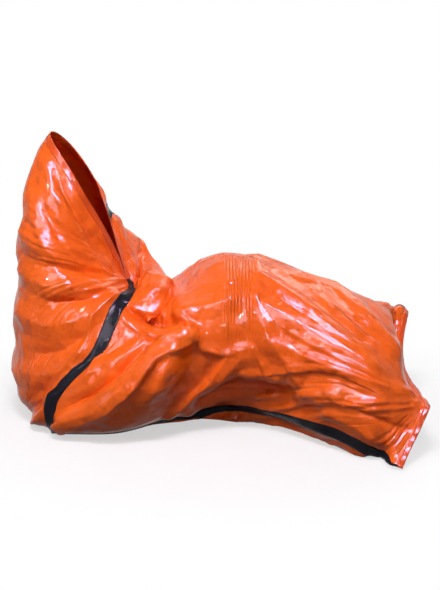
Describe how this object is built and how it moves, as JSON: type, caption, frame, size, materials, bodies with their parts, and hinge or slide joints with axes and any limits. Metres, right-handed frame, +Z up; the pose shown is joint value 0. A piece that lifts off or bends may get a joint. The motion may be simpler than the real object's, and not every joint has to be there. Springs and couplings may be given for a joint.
{
  "type": "survival bag",
  "caption": "Film survival bag in its worn shape, hood up and legs drawn up: front and back films joined by side bands, with an open mouth and a sealed foot end.",
  "frame": {"origin": "middle of the seat's rest face, on the ground", "axes": "+Z up, +X from the seat to the foot end, -Y the near side in the picture"},
  "size_m": [1.1962, 0.6677, 0.761],
  "materials": {
    "orange_film": "gloss",
    "doubled_film": "gloss",
    "black_band": "gloss"
  },
  "bodies": {
    "root": {"back_film": "orange_film", "front_film": "orange_film", "hood_hem": "doubled_film", "chest_hem": "doubled_film", "near_side_band": "black_band", "far_side_band": "black_band", "foot_weld": "doubled_film"}
  },
  "joints": []
}
